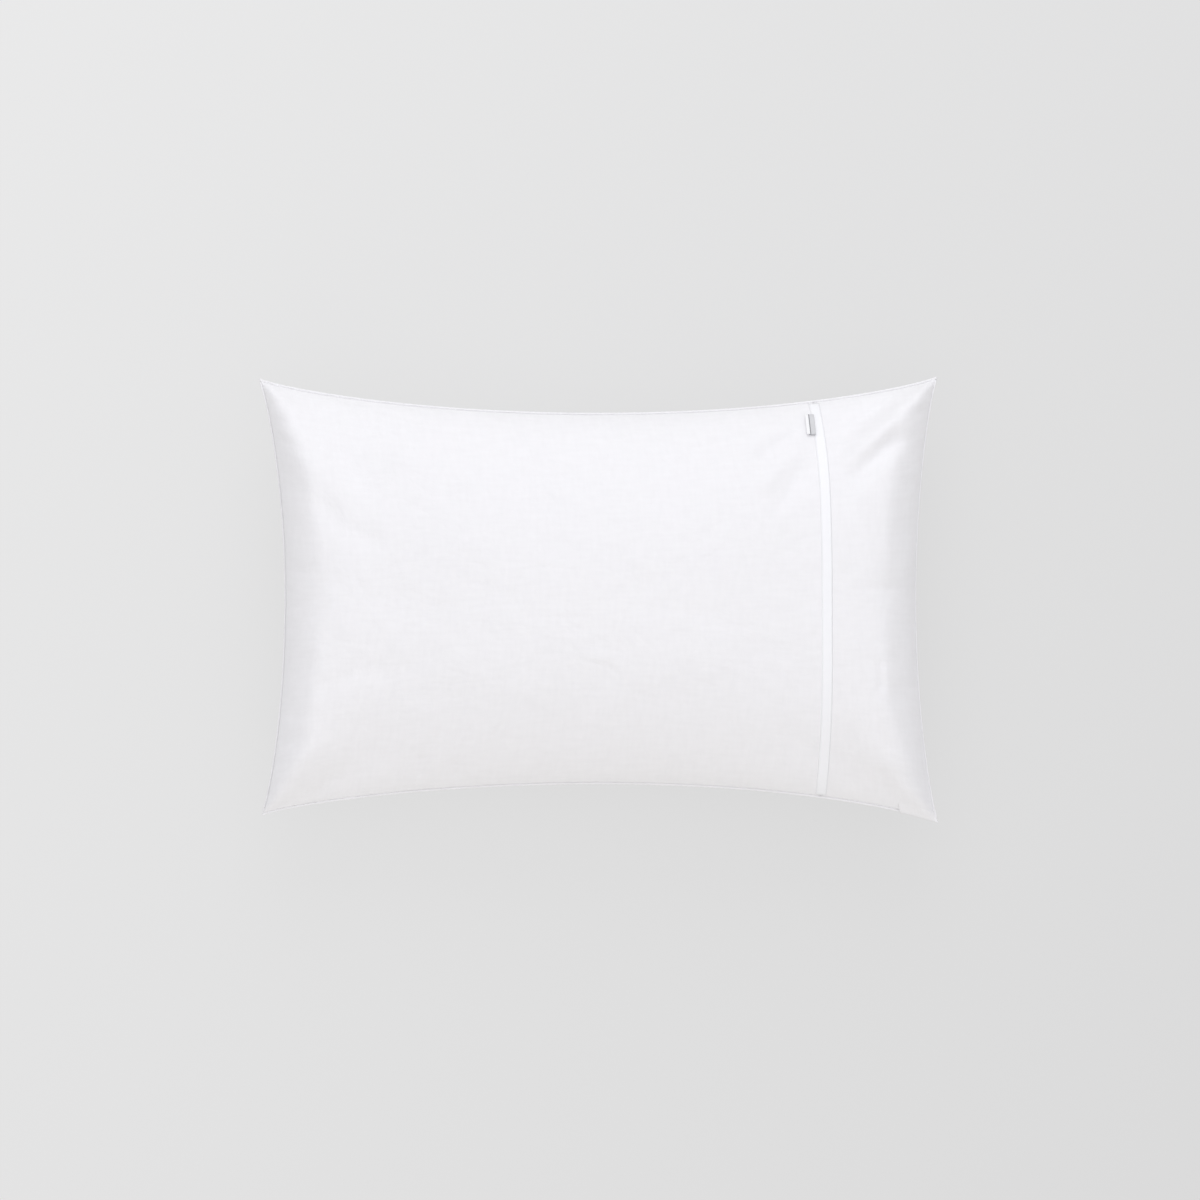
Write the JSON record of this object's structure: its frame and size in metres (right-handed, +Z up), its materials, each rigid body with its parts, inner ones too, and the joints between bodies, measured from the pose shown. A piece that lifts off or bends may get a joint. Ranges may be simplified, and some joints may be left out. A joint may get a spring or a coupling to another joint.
{
  "type": "bed pillow",
  "caption": "Plump rectangular bed pillow in a white cotton case with a taped cuff at its mouth and a small satin tab beside the tape.",
  "frame": {"origin": "centre of the pillow's plan box, on the surface that it lies on", "axes": "+X along the pillow towards the case's mouth, +Y across it towards the side with the tab, +Z up out of the front panel"},
  "size_m": [0.714, 0.4668, 0.1857],
  "materials": {
    "case_cotton": "white combed cotton percale, matt, fine plain weave",
    "sateen_tape": "white cotton sateen tape, slight sheen",
    "seam_thread": "white sewn seam edge",
    "satin_tab": "silver-grey woven satin, folded",
    "label_tape": "white satin label tape, unprinted",
    "ticking": "off-white cotton ticking, matt twill",
    "ticking_piping": "off-white piping",
    "fibre": "white polyester fibre"
  },
  "bodies": {
    "case_back": {"back_panel": "case_cotton", "back_cuff": "case_cotton", "back_tape": "sateen_tape", "tuck_in_flap": "case_cotton", "upper_side_seam": "seam_thread", "lower_side_seam": "seam_thread", "closed_end_seam": "seam_thread"},
    "case_front": {"front_panel": "case_cotton", "front_cuff": "case_cotton", "front_tape": "sateen_tape", "case_care_label": "label_tape"},
    "tab": {"maker_tab": "satin_tab"},
    "pillow": {"ticking_front": "ticking", "ticking_back": "ticking", "pillow_piping": "ticking_piping", "fibre_filling": "fibre", "pillow_care_label": "label_tape"}
  },
  "joints": [
    {"name": "pillow_withdrawal", "type": "slide", "parent": "case_back", "child": "pillow", "axis": [1, 0, 0], "range_m": [0, 0.7], "deforming": ["front_panel", "front_cuff", "front_tape", "back_panel", "back_cuff", "back_tape", "tuck_in_flap", "upper_side_seam", "lower_side_seam", "closed_end_seam", "case_care_label", "maker_tab"]},
    {"name": "front_collapse", "type": "slide", "parent": "case_back", "child": "case_front", "axis": [0, 0, -1], "range_m": [0, 0.102]},
    {"name": "tab_flip", "type": "hinge", "parent": "case_front", "child": "tab", "pos_m": [0.22717, 0.18155, 0.1145], "axis": [-0.0718, 0.8039, -0.5904], "range_deg": [0, 120]}
  ],
  "couplings": [
    {"joint": "front_collapse", "follows": "pillow_withdrawal", "ratio": 0.14571}
  ]
}
